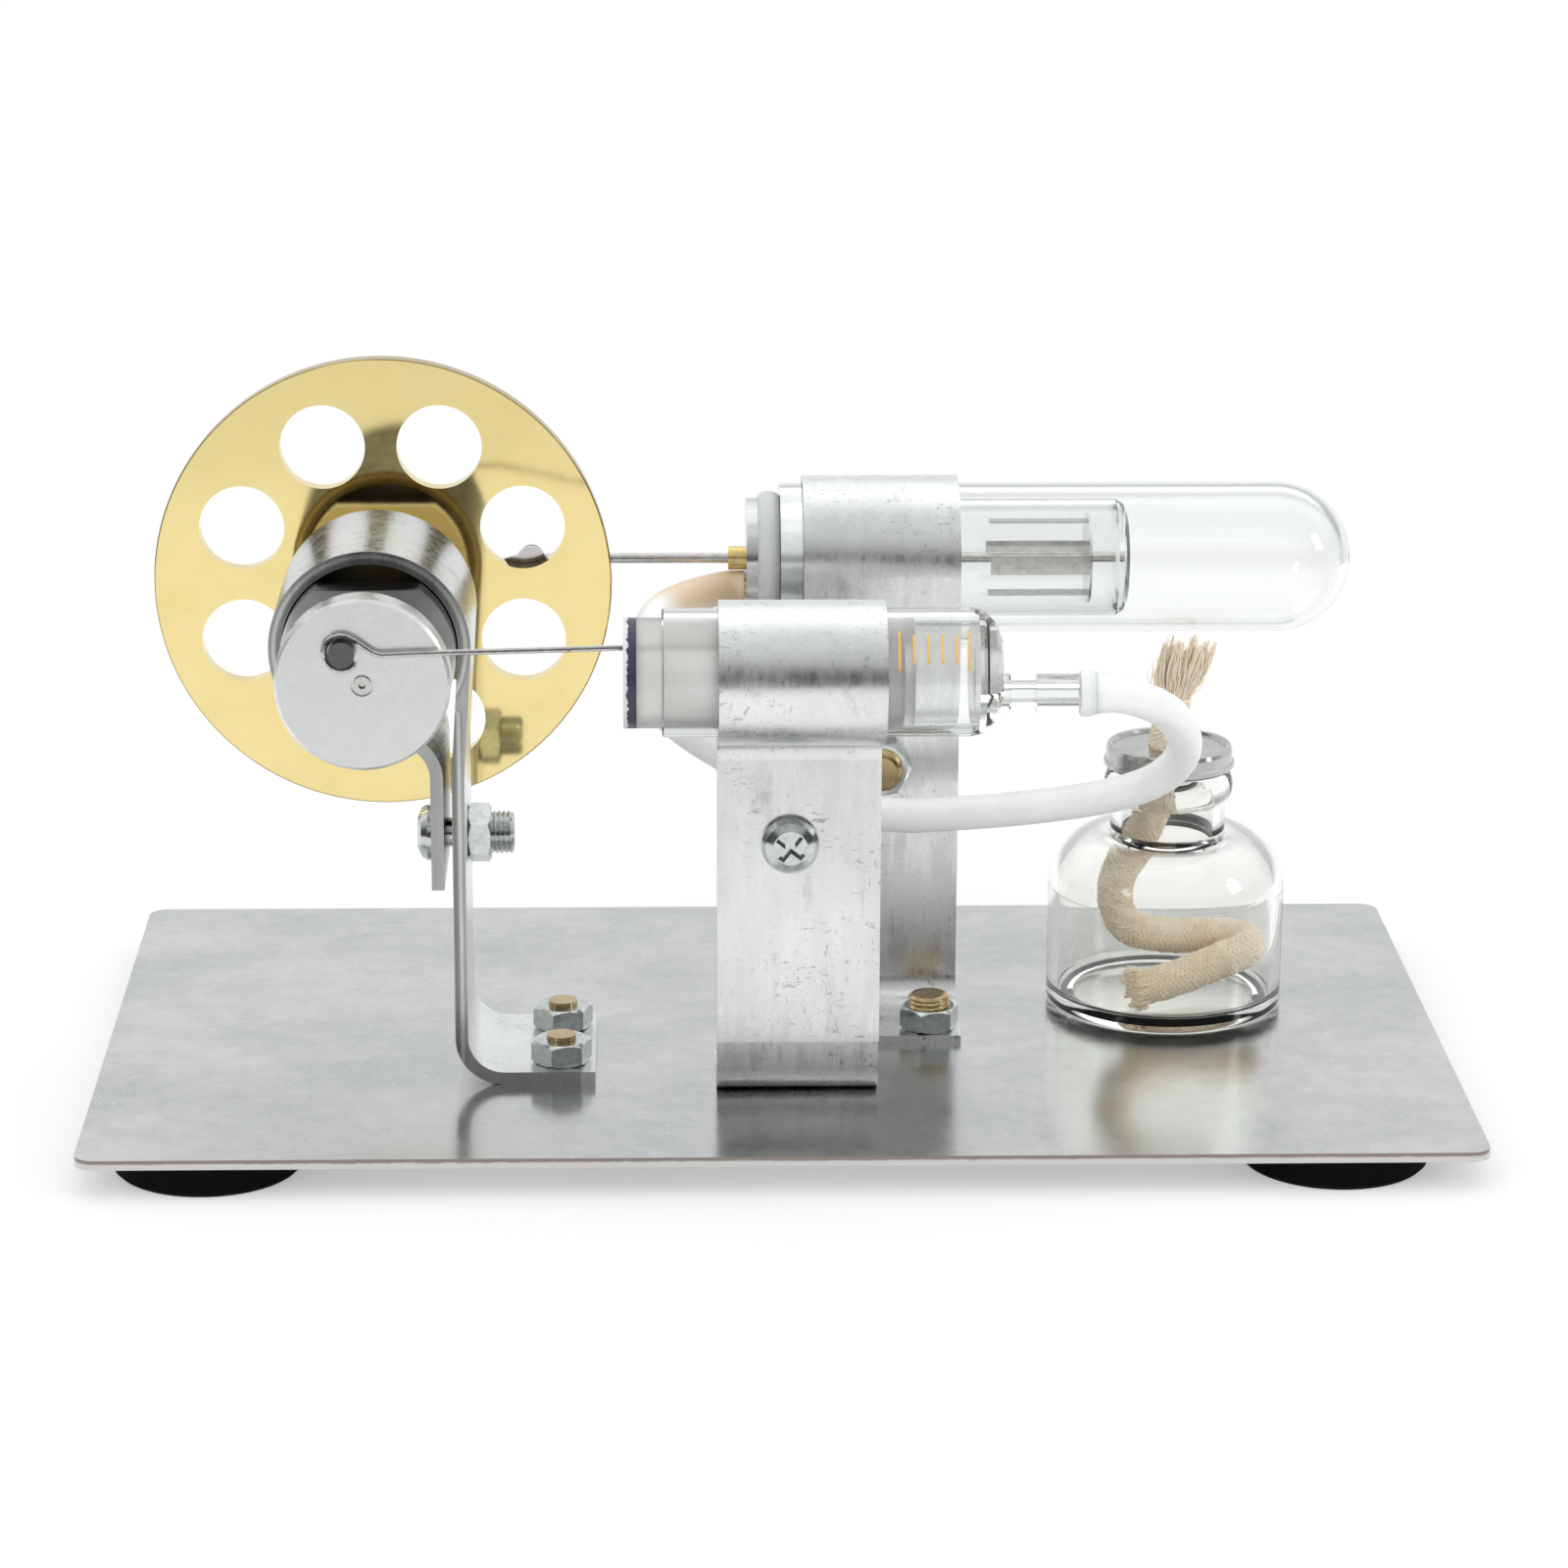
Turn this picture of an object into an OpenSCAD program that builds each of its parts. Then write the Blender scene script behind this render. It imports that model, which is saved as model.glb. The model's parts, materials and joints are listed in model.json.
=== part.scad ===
// Bench-top Stirling engine: a glass hot cylinder over a spirit burner, a glass
// syringe as the power cylinder, and a flywheel shaft, all on a sheet-metal plate.
// +Z is up, +X runs from the flywheel towards the hot end, -Y is the front.
// The origin is on the ground, under the middle of the base plate.

/* [Base] */
// Length of the base plate along X
base_w = 140; // [130:1:150]
// Depth of the base plate along Y
base_d = 80; // [76:1:90]
// Thickness of the base plate
base_t = 1; // [0.8:0.1:1.5]
// Diameter of each rubber foot
foot_d = 19; // [16:1:20]
// Height of each rubber foot
foot_h = 3; // [3:0.5:6]

/* [Flywheel shaft] */
// Position of the shaft along X
shaft_x = -41.1; // [-42:0.1:-40]
// Height of the shaft above the base plate
shaft_h = 46.1; // [45:0.1:47]
// Diameter of the shaft
shaft_d = 1.8; // [1.5:0.1:2]
// Diameter of the flywheel
flywheel_d = 48; // [44:1:50]
// Thickness of the flywheel
flywheel_t = 2; // [1.5:0.1:2]
// Diameter of the lightening holes in the flywheel
flywheel_hole_d = 8.9; // [6:0.1:9.5]
// Diameter of the crank disc
crank_d = 17.2; // [15:0.1:18]
// Throw of the power crank pin
crank_throw = 3.9; // [3:0.1:3.9]
// Angle of the power crank pin at rest, from +X towards +Z
crank_angle = 119; // [115:1:123]
// Throw of the displacer crank pin behind the flywheel
displacer_throw = 7.5; // [7:0.1:7.5]
// Angle of the displacer crank pin at rest
displacer_angle = 210; // [207:1:213]

/* [Power cylinder] */
// Front-to-back position of the syringe's axis
power_y = -27.9; // [-28.1:0.1:-27.7]
// Outer diameter of the syringe barrel
barrel_d = 12.7; // [12.6:0.1:12.8]
// Bore of the syringe barrel
barrel_bore = 11; // [10.96:0.01:11.04]
// Outer diameter of the hollow plunger
plunger_d = 10.88; // [10.8:0.01:10.9]
// Wall of the hollow plunger
plunger_wall = 0.39; // [0.3:0.01:0.4]

/* [Hot cylinder] */
// Front-to-back position of the hot tube's axis
hot_y = 12; // [11.9:0.1:12.3]
// Height of the hot tube's axis above the base plate
hot_h = 47.9; // [47.6:0.1:48.2]
// Outer diameter of the hot glass tube
hot_d = 15.9; // [15.8:0.1:16]
// Wall of the hot glass tube
hot_wall = 0.9; // [0.8:0.1:1]
// Outer diameter of the displacer tube
displacer_d = 12.4; // [12:0.1:12.6]
// Diameter of the displacer rod
rod_d = 1.1; // [1:0.05:1.1]

/* [Burner] */
// Position of the burner's axis along X
burner_x = 42.1; // [42:0.1:42.5]
// Front-to-back position of the burner's axis
burner_y = 7; // [6.8:0.1:7.2]
// Outer diameter of the glass bottle
bottle_d = 25.2; // [25:0.1:25.4]
// Diameter of the metal lid
lid_d = 13.6; // [13.4:0.1:13.8]

/* [Brackets] */
// Thickness of the flywheel bracket's strip
heavy_t = 1.3; // [1:0.1:1.3]
// Thickness of the two cylinder brackets' strip
light_t = 0.78; // [0.7:0.01:0.8]
// Width of the flywheel bracket's strip
flywheel_strip_w = 18.2; // [17.6:0.1:18.4]
// Width of the two cylinder brackets' strip
cylinder_strip_w = 16.4; // [16:0.1:16.8]

/* [Hidden] */
$fn = 64;

deck = foot_h + base_t;
fit = 0.03;

// M3 fasteners
m3_d = 3;
m3_hole = 3.3;
m3_nut_af = 5.5;
m3_nut_t = 2.4;
m3_head_d = 5.8;
m3_head_t = 1.7;

// Feet
foot_x = [-57.5, 55.5];
foot_y = 30.5;
plate_corner = 2;

// Flywheel bracket, measured from the shaft in X
can_d = 17.4;
can_flat = 13.8;
heavy_loop_r = 8.8;
heavy_lean = 0.85;
heavy_gap = 0.85;
heavy_clamp_h = 24.3;
heavy_short_h = 20.9;
heavy_foot_end = 22.2;
heavy_bolt = 18.7;
heavy_bolt_pitch = 10.8;
heavy_front = -18.8;
heavy_mid = heavy_front + flywheel_strip_w / 2;

// Power bracket, measured from the syringe's axis in Y
power_loop_r = barrel_d / 2 + fit;
power_lean = 0.5;
power_gap = 0.9;
power_clamp_h = 27.2;
power_short_h = 6.2;
power_foot_end = 16.8;
power_bolt = 13.7;
power_mid = 1.7;

// Hot bracket, measured from the hot tube's axis towards the front
hot_loop_r = hot_d / 2 + fit;
hot_gap = 0.8;
hot_clamp_h = 27.7;
hot_short_h = 21.5;
hot_foot_end = 18.8;
hot_bolt = 15.7;
hot_mid = 11.2;
cylinder_bolt_pitch = 10;

// Bearing, shaft, crank and flywheel, along Y
can_front = -22;
can_back = 0.6;
can_wall = 0.6;
bush_d = 5;
shaft_front = -32.3;
shaft_back = 10.3;
disc_t = 3.1;
flywheel_y = 8.3;
flywheel_hole_r = 15.9;
flywheel_holes = 8;
hub_d = 9;
hub_len = 5.6;
running = 0.05;
pin_d = 1.5;
pin_at = [crank_throw * cos(crank_angle), crank_throw * sin(crank_angle)];
rear_pin_at = [displacer_throw * cos(displacer_angle), displacer_throw * sin(displacer_angle)];

// Connecting rods
wire_d = 0.6;
hook_r = 1.75;
hook_y = shaft_front - 0.55;
rod_rest_h = shaft_h + pin_at[1] - 0.78;
link_y = flywheel_y + flywheel_t + 0.2;
link_t = 0.7;
link_w = 2;
link_eye = 3.2;

// Syringe along X
barrel_left = -12;
barrel_end = 18.9;
plunger_left = -15.8;
plunger_right = 12.6;
band_w = 1.3;
nozzle_drop = 2.2;
nozzle_tip = 32.1;

// Hot cylinder along X
tube_left = 0.6;
tube_right = 61.3;
plug_left = -2.95;
plug_right = 3;
seal_left = -1.75;
rod_left = -26.9;
rod_right = 36.3;
knuckle_x = -25.6;
displacer_left = 5;
displacer_right = 37.4;
port_drop = 3.2;
displacer_wall = 0.5;

// Hose: its route, from the syringe's nozzle round to the port on the cold plug
hose_d = 3.6;
hose_sides = 8;
hose_steps = 3;
hose_route = [
    [30, -27.9, 47.9], [32.5, -27.9, 47.85], [35.3, -26.8, 46.9], [38, -24, 45],
    [40, -20.2, 42.2], [41, -16, 39], [40.6, -12.2, 35.9], [38.4, -9.4, 33.2],
    [34, -7.8, 31.3], [27, -7, 30], [19, -6.6, 29.2], [11, -6.5, 29.1],
    [2.2, -6.9, 31.8], [-5.2, -7.8, 35.8], [-10.4, -8.4, 39.6], [-13, -8.2, 43.4],
    [-13.5, -6, 46.9], [-12.6, -2.2, 48.9], [-10.8, 3.2, 49.1], [-8.4, 8.2, 48.8],
    [-5.6, 11.4, 48.7], [-4.4, 12, 48.7], [-3.05, 12, 48.7],
];

// Wick: its route, from the frayed tip down through the lid to the bottle's floor
wick_d = 3.8;
wick_sides = 8;
wick_steps = 2;
wick_route = [
    [43.6, 7, 44.2], [43.2, 7, 41], [42.2, 7, 36.5], [41.8, 7, 32], [41.2, 6.9, 27.6],
    [39.4, 6.6, 23], [37, 6.1, 18.6], [36.8, 5.9, 15], [38.4, 6, 12.6], [41.6, 6.6, 11.6],
    [45.4, 7.6, 11.1], [49, 8.1, 10.9], [51, 7, 10.8], [50.6, 4.6, 10.5],
    [47.4, 3, 9.7], [42.8, 0.8, 8.6], [38.2, -0.8, 7.8],
];

function unit(v) = v / norm(v);
function spline_at(a, b, c, d, t) =
    0.5 * (2 * b + (c - a) * t + (2 * a - 5 * b + 4 * c - d) * t * t
        + (3 * b - a - 3 * c + d) * t * t * t);
function smooth(p, n) = concat(
    [for (i = [0:len(p) - 2], j = [0:n - 1])
        spline_at(p[max(i - 1, 0)], p[i], p[i + 1], p[min(i + 2, len(p) - 1)], j / n)],
    [p[len(p) - 1]]);
function heading(p, i) = unit(p[min(i + 1, len(p) - 1)] - p[max(i - 1, 0)]);
function across(side, along) = unit(side - (side * along) * along);
function sides_of(p, i, side) =
    i == len(p) ? [] : let (s = across(side, heading(p, i))) concat([s], sides_of(p, i + 1, s));

// A flexible line of round section swept along a route
module swept(route, d, sides, steps, side) {
    p = smooth(route, steps);
    s = sides_of(p, 0, side);
    n = len(p);
    points = [for (i = [0:n - 1], k = [0:sides - 1])
        let (a = 360 * k / sides)
            p[i] + d / 2 * (cos(a) * s[i] + sin(a) * cross(heading(p, i), s[i]))];
    walls = [for (i = [0:n - 2], k = [0:sides - 1], half = [0, 1])
        let (a = i * sides + k, b = i * sides + (k + 1) % sides)
            half == 0 ? [a, b + sides, b] : [a, a + sides, b + sides]];
    first = [for (k = [0:sides - 1]) k];
    last = [for (k = [sides - 1:-1:0]) (n - 1) * sides + k];
    polyhedron(points, concat([first], walls, [last]), convexity = 10);
}

// A cylinder along X from x0 to x1
module rod_x(d, x0, x1) {
    translate([x0, 0, 0]) rotate([0, 90, 0]) cylinder(d = d, h = x1 - x0);
}

// A cylinder along Y from y0 to y1
module rod_y(d, y0, y1) {
    translate([0, y1, 0]) rotate([90, 0, 0]) cylinder(d = d, h = y1 - y0);
}

// Pan-head machine screw along +Z: its head sits below z = 0 and its shank above
module pan_screw(shank) {
    translate([0, 0, -m3_head_t]) difference() {
        rotate_extrude() polygon([
            [0, 0], [m3_head_d * 0.3, 0], [m3_head_d * 0.43, 0.35], [m3_head_d / 2, 1],
            [m3_head_d / 2, m3_head_t], [0, m3_head_t],
        ]);
        for (a = [0, 90])
            rotate([0, 0, a]) translate([-1.6, -0.35, -0.1]) cube([3.2, 0.7, 1]);
    }
    cylinder(d = m3_d, h = shank);
}

// Hexagon nut along +Z, standing on z = 0, with chamfered corners
module hex_nut() {
    corners = m3_nut_af / cos(30);
    difference() {
        intersection() {
            cylinder(d = corners, h = m3_nut_t, $fn = 6);
            rotate_extrude() polygon([
                [0, 0], [m3_nut_af * 0.48, 0], [corners / 2, 0.35],
                [corners / 2, m3_nut_t - 0.35], [m3_nut_af * 0.48, m3_nut_t], [0, m3_nut_t],
            ]);
        }
        translate([0, 0, -1]) cylinder(d = m3_d + 2 * fit, h = m3_nut_t + 2);
    }
}

// A curved stretch of strip about the Z axis, from angle a0 to a1
module curved_strip(r_in, t, w, a0, a1) {
    rotate([0, 0, a0]) rotate_extrude(angle = a1 - a0) translate([r_in, 0]) square([t, w]);
}

// P-clamp bracket bent from one strip, drawn flat: x runs towards the foot, y up from
// the plate and z across the strip. Its long leg is tangent to the loop.
module p_bracket(h, r, t, w, lean, gap, flare, short_h, bend, foot_end) {
    leg = r - lean;
    short = leg - gap - t;
    flare_x = short - flare;
    flare_y = h - sqrt(pow(r + t + flare, 2) - pow(flare_x, 2));
    join = atan2(h - flare_y, -flare_x);
    straight = bend + t;
    translate([0, h, 0]) curved_strip(r, t, w, 0, 180 + join);
    translate([flare_x, flare_y, 0]) curved_strip(flare, t, w, 0, join);
    translate([short, short_h, 0]) cube([t, flare_y - short_h, w]);
    linear_extrude(w) polygon([
        [r, h], [r + t, h], [leg + t, flare_y], [leg + t, straight],
        [leg, straight], [leg, flare_y],
    ]);
    translate([leg + t + bend, straight, 0]) curved_strip(bend, t, w, 180, 270);
    translate([leg + t + bend, 0, 0]) cube([foot_end - leg - t - bend, t, w]);
}

// Screw holes of a bracket, drawn in the same flat frame
module bracket_holes(clamp_h, bolt, pitch, t, w, clamp_z) {
    translate([0, clamp_h, clamp_z]) rotate([0, 90, 0]) cylinder(d = m3_hole, h = 12);
    for (side = [-1, 1])
        translate([bolt, 3 * t, w / 2 + side * pitch / 2]) rotate([90, 0, 0])
            cylinder(d = m3_hole, h = 6 * t);
}

module base_plate() {
    color("gainsboro") translate([0, 0, foot_h]) difference() {
        union() {
            translate([-base_w / 2, -base_d / 2 + plate_corner, 0])
                cube([base_w, base_d - 2 * plate_corner, base_t]);
            translate([-base_w / 2 + plate_corner, -base_d / 2, 0])
                cube([base_w - 2 * plate_corner, base_d, base_t]);
            for (sx = [-1, 1], sy = [-1, 1])
                translate([sx * (base_w / 2 - plate_corner), sy * (base_d / 2 - plate_corner), 0])
                    cylinder(r = plate_corner, h = base_t);
        }
        for (p = concat(flywheel_bolts(), power_bolts(), hot_bolts()))
            translate([p[0], p[1], -1]) cylinder(d = m3_hole, h = base_t + 2);
    }
}

function flywheel_bolts() =
    [for (s = [-1, 1]) [shaft_x + heavy_bolt, heavy_mid + s * heavy_bolt_pitch / 2]];
function power_bolts() =
    [for (s = [-1, 1]) [power_mid + s * cylinder_bolt_pitch / 2, power_y + power_bolt]];
function hot_bolts() =
    [for (s = [-1, 1]) [hot_mid + s * cylinder_bolt_pitch / 2, hot_y - hot_bolt]];

module foot(x, y) {
    color("black") translate([x, y, 0]) rotate_extrude() polygon([
        [0, 0], [foot_d / 2 - 0.4, 0], [foot_d / 2, 0.4], [foot_d / 2, foot_h - 0.3],
        [foot_d / 2 - 0.3, foot_h], [0, foot_h],
    ]);
}
module foot_front_left() { foot(foot_x[0], -foot_y); }
module foot_front_right() { foot(foot_x[1], -foot_y); }
module foot_back_left() { foot(foot_x[0], foot_y); }
module foot_back_right() { foot(foot_x[1], foot_y); }

// Screws up through the plate at each point, or the nuts on top of the bracket's foot
module foot_screws(points, shank) {
    color("silver") for (p = points) translate([p[0], p[1], foot_h]) pan_screw(shank);
}
module foot_nuts(points, t) {
    color("silver") for (p = points) translate([p[0], p[1], deck + t]) rotate([0, 0, 12]) hex_nut();
}

module flywheel_bracket() {
    color("silver") translate([shaft_x, heavy_front + flywheel_strip_w, deck])
        rotate([90, 0, 0]) difference() {
            p_bracket(shaft_h, heavy_loop_r, heavy_t, flywheel_strip_w, heavy_lean, heavy_gap,
                3.55, heavy_short_h, 3.7, heavy_foot_end);
            bracket_holes(heavy_clamp_h, heavy_bolt, heavy_bolt_pitch, heavy_t,
                flywheel_strip_w, flywheel_strip_w / 2);
        }
}
heavy_leg = heavy_loop_r - heavy_lean;
heavy_short = heavy_leg - heavy_gap - heavy_t;
module flywheel_clamp_screw() {
    color("silver") translate([shaft_x + heavy_short, heavy_mid, deck + heavy_clamp_h])
        rotate([0, 90, 0]) pan_screw(8.2);
}
module flywheel_clamp_nut() {
    color("silver") translate([shaft_x + heavy_leg + heavy_t, heavy_mid, deck + heavy_clamp_h])
        rotate([0, 90, 0]) hex_nut();
}
module flywheel_foot_screws() { foot_screws(flywheel_bolts(), base_t + heavy_t + m3_nut_t + 0.5); }
module flywheel_foot_nuts() { foot_nuts(flywheel_bolts(), heavy_t); }

// The can's round body with a flat above and below, from y0 to y1
module flatted(d, flat, y0, y1) {
    intersection() {
        rod_y(d, y0, y1);
        translate([-d, y0 - 1, -flat / 2]) cube([2 * d, y1 - y0 + 2, flat]);
    }
}
module at_shaft() { translate([shaft_x, 0, deck + shaft_h]) children(); }

module bearing_can() {
    color("lightgray") at_shaft() difference() {
        flatted(can_d, can_flat, can_front, can_back);
        flatted(can_d - 2 * can_wall, can_flat - 2 * can_wall, can_front + 0.8, can_back + 1);
        rod_y(bush_d, can_front - 1, can_front + 2);
    }
}
module bearing_cap() {
    color("whitesmoke") at_shaft() difference() {
        union() {
            flatted(can_d - 2 * can_wall - 0.1, can_flat - 2 * can_wall - 0.1, can_back - 2, can_back);
            flatted(can_d - 0.4, can_flat - 0.4, can_back, can_back + 0.7);
        }
        rod_y(bush_d, can_back - 3, can_back + 2);
    }
}
module bush(y0, y1) {
    color("goldenrod") at_shaft() difference() {
        rod_y(bush_d, y0, y1);
        rod_y(shaft_d + 2 * running, y0 - 1, y1 + 1);
    }
}
module front_bush() { bush(can_front - 0.7, can_front + 1.8); }
module rear_bush() { bush(can_back - 2, can_back + 1.3); }

module crank_shaft() {
    color("silver") at_shaft() difference() {
        rod_y(shaft_d, shaft_front, shaft_back);
        rod_y(0.7, shaft_front - 1, shaft_front + 0.5);
    }
}
module crank_collar() {
    color("silver") at_shaft() difference() {
        rod_y(6.4, shaft_front + disc_t, can_front - 1);
        rod_y(shaft_d, shaft_front, can_front);
    }
}
module crank_disc() {
    color("gainsboro") at_shaft() difference() {
        translate([0, shaft_front + disc_t, 0]) rotate([90, 0, 0]) rotate_extrude() polygon([
            [0, 0], [crank_d / 2, 0], [crank_d / 2, disc_t - 0.3],
            [crank_d / 2 - 0.3, disc_t], [0, disc_t],
        ]);
        rod_y(shaft_d, shaft_front - 1, shaft_front + disc_t + 1);
        rod_y(shaft_d + 0.4, shaft_front - 1, shaft_front + 0.3);
        translate([pin_at[0], 0, pin_at[1]]) rod_y(pin_d, shaft_front - 1, shaft_front + 2);
    }
}
module crank_pin() {
    color("dimgray") at_shaft() translate([pin_at[0], 0, pin_at[1]]) {
        rod_y(pin_d, shaft_front - 1, shaft_front + 2);
        rod_y(2.6, shaft_front - 1.5, shaft_front - 1);
    }
}
module flywheel() {
    color("khaki") at_shaft() difference() {
        translate([0, flywheel_y + flywheel_t, 0]) rotate([90, 0, 0]) rotate_extrude($fn = 96)
            polygon([
                [0, 0], [flywheel_d / 2 - 0.15, 0], [flywheel_d / 2, 0.15],
                [flywheel_d / 2, flywheel_t - 0.15], [flywheel_d / 2 - 0.15, flywheel_t],
                [0, flywheel_t],
            ]);
        rod_y(shaft_d, 0, 20);
        for (i = [0:flywheel_holes - 1])
            rotate([0, -(i + 0.5) * 360 / flywheel_holes, 0]) translate([flywheel_hole_r, 0, 0])
                rod_y(flywheel_hole_d, 0, 20);
    }
}
module flywheel_hub() {
    color("goldenrod") at_shaft() difference() {
        rod_y(hub_d, flywheel_y - hub_len, flywheel_y);
        rod_y(shaft_d, 0, 20);
        translate([0, flywheel_y - hub_len / 2, 0]) cylinder(d = 2, h = hub_d);
    }
}
module hub_grub_screw() {
    color("dimgray") at_shaft() translate([0, flywheel_y - hub_len / 2, shaft_d / 2]) difference() {
        cylinder(d = 2, h = hub_d / 2 - shaft_d / 2 - 0.3);
        translate([0, 0, 2.3]) cylinder(d = 0.9, h = 2, $fn = 6);
    }
}
module displacer_crank_pin() {
    color("dimgray") at_shaft() translate([rear_pin_at[0], 0, rear_pin_at[1]]) {
        rod_y(pin_d, flywheel_y + flywheel_t, link_y + link_t + 0.15);
        rod_y(2.6, link_y + link_t + 0.15, link_y + link_t + 0.7);
    }
}

// Bent wire from the power crank pin into the hollow plunger
function con_rod_route() =
    let (
        eye = [shaft_x + pin_at[0], hook_y, deck + shaft_h + pin_at[1]],
        rest_h = deck + rod_rest_h
    )
    concat(
        [for (a = [315:-20:75]) eye + hook_r * [cos(a), 0, sin(a)]],
        [
            eye + [1.3, 0, 1.25], [-40.05, hook_y, rest_h + 0.85],
            [-39.2, hook_y, rest_h + 0.57], [-36, hook_y, rest_h + 0.71],
            [-30, hook_y, rest_h + 0.88], [-21, power_y - 0.4, rest_h - 0.09],
            [-15.8, power_y - 0.2, rest_h], [2.6, power_y, rest_h],
        ]
    );
module power_con_rod() {
    color("silver") swept(con_rod_route(), wire_d, 12, 1, [0, 1, 0]);
}

// Flat link behind the flywheel: one eye on the rear crank pin, one beside the knuckle
module displacer_con_rod() {
    a = [shaft_x + rear_pin_at[0], deck + shaft_h + rear_pin_at[1]];
    b = [knuckle_x, deck + hot_h];
    reach = norm(b - a);
    color("silver") translate([a[0], link_y + link_t, a[1]]) rotate([90, 0, 0])
        rotate([0, 0, atan2(b[1] - a[1], b[0] - a[0])]) {
            difference() {
                union() {
                    cylinder(d = link_eye, h = link_t);
                    translate([0, -link_w / 2, 0]) cube([reach, link_w, link_t]);
                    translate([reach, 0, 0]) cylinder(d = link_eye, h = link_t);
                }
                translate([0, 0, -1]) cylinder(d = pin_d + 2 * running, h = link_t + 2);
            }
        }
}

module power_bracket() {
    color("silver") translate([power_mid - cylinder_strip_w / 2, power_y, deck])
        rotate([90, 0, 90]) difference() {
            p_bracket(shaft_h, power_loop_r, light_t, cylinder_strip_w, power_lean, power_gap,
                3.1, power_short_h, 1.7, power_foot_end);
            bracket_holes(power_clamp_h, power_bolt, cylinder_bolt_pitch, light_t,
                cylinder_strip_w, cylinder_strip_w / 2 - 0.9);
        }
}
power_leg = power_loop_r - power_lean;
power_short = power_leg - power_gap - light_t;
module at_power_clamp() { translate([power_mid - 0.9, power_y, deck + power_clamp_h]) children(); }
module power_clamp_screw() {
    color("silver") at_power_clamp() translate([0, power_short, 0])
        rotate([-90, 38, 0]) pan_screw(7);
}
module power_clamp_nut() {
    color("silver") at_power_clamp() translate([0, power_leg + light_t, 0])
        rotate([-90, 0, 0]) hex_nut();
}
module power_foot_screws() { foot_screws(power_bolts(), base_t + light_t + m3_nut_t + 0.8); }
module power_foot_nuts() { foot_nuts(power_bolts(), light_t); }

// Glass syringe barrel with an off-centre nozzle
module syringe_barrel() {
    r = barrel_d / 2;
    color("aliceblue") translate([0, power_y, deck + shaft_h]) difference() {
        union() {
            translate([barrel_left, 0, 0]) rotate([0, 90, 0]) rotate_extrude() polygon([
                [0, 0], [r - 0.15, 0], [r, 0.15], [r, 30.4], [r - 0.3, 31.6], [r - 1.4, 32.7],
                [r - 3, 33.4], [0, 33.6],
            ]);
            translate([0, 0, -nozzle_drop]) {
                rod_x(4, 20, 22.2);
                rod_x(2.6, 22, 25);
                rod_x(3.9, 24.8, 29.8);
                rod_x(3, 29.7, nozzle_tip);
            }
        }
        rod_x(barrel_bore, barrel_left - 1, barrel_end);
        translate([0, 0, -nozzle_drop]) rod_x(1.3, barrel_end - 1, nozzle_tip + 1);
    }
}

// Hollow plunger: open to the crank, closed inside the barrel
module plunger() {
    color("white") translate([0, power_y, deck + shaft_h]) difference() {
        rod_x(plunger_d, plunger_left, plunger_right);
        rod_x(plunger_d - 2 * plunger_wall, plunger_left - 1, plunger_right - 1);
        difference() {
            rod_x(plunger_d + 1, plunger_left - 1, plunger_left + band_w);
            rod_x(plunger_d - plunger_wall, plunger_left - 2, plunger_left + band_w + 1);
        }
    }
}
module plunger_band() {
    color("midnightblue") translate([0, power_y, deck + shaft_h]) difference() {
        rod_x(plunger_d, plunger_left, plunger_left + band_w);
        rod_x(plunger_d - plunger_wall, plunger_left - 1, plunger_left + band_w + 1);
    }
}

module hot_bracket() {
    color("silver") translate([hot_mid + cylinder_strip_w / 2, hot_y, deck])
        rotate([90, 0, -90]) difference() {
            p_bracket(hot_h, hot_loop_r, light_t, cylinder_strip_w, 0, hot_gap,
                3.2, hot_short_h, 4, hot_foot_end);
            bracket_holes(hot_clamp_h, hot_bolt, cylinder_bolt_pitch, light_t,
                cylinder_strip_w, cylinder_strip_w / 2);
        }
}
hot_short = hot_loop_r - hot_gap - light_t;
module at_hot_clamp() { translate([hot_mid, hot_y, deck + hot_clamp_h]) children(); }
module hot_clamp_screw() {
    color("silver") at_hot_clamp() translate([0, -hot_short, 0]) rotate([90, 20, 0]) pan_screw(5.6);
}
module hot_clamp_nut() {
    color("silver") at_hot_clamp() translate([0, -hot_loop_r - light_t, 0])
        rotate([90, 0, 0]) hex_nut();
}
module hot_foot_screws() { foot_screws(hot_bolts(), base_t + light_t + m3_nut_t + 1.3); }
module hot_foot_nuts() { foot_nuts(hot_bolts(), light_t); }

module at_hot() { translate([0, hot_y, deck + hot_h]) children(); }

// Test tube: open at the cold end, round at the hot end
module hot_tube() {
    r = hot_d / 2;
    color("aliceblue") at_hot() difference() {
        union() {
            rod_x(hot_d, tube_left, tube_right - r);
            translate([tube_right - r, 0, 0]) rotate([0, 90, 0]) dome(r);
        }
        rod_x(hot_d - 2 * hot_wall, tube_left - 1, tube_right - r);
        translate([tube_right - r, 0, 0]) rotate([0, 90, 0]) dome(r - hot_wall);
    }
}
// Half ball on the z = 0 plane
module dome(r) {
    rotate_extrude() intersection() {
        circle(r);
        square(2 * r);
    }
}
module cold_plug() {
    color("lightgray") at_hot() difference() {
        union() {
            rod_x(12.8, plug_left, seal_left);
            rod_x(10.8, seal_left, tube_left);
            rod_x(hot_d - 2 * hot_wall - 0.1, tube_left, plug_right);
        }
        rod_x(2, plug_left - 1, plug_right + 1);
        translate([0, 0, -port_drop]) rod_x(2.2, plug_left - 1, plug_right + 1);
    }
}
module plug_seal() {
    color("white") at_hot() translate([seal_left, 0, 0]) rotate([0, 90, 0]) rotate_extrude() {
        w = tube_left - seal_left;
        polygon([[5.4, 0], [6.4, 0], [6.4, w], [5.4, w]]);
        translate([6.4, w / 2]) intersection() {
            scale([0.62, 1]) circle(w / 2);
            translate([0, -w]) square(2 * w);
        }
    }
}
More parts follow.
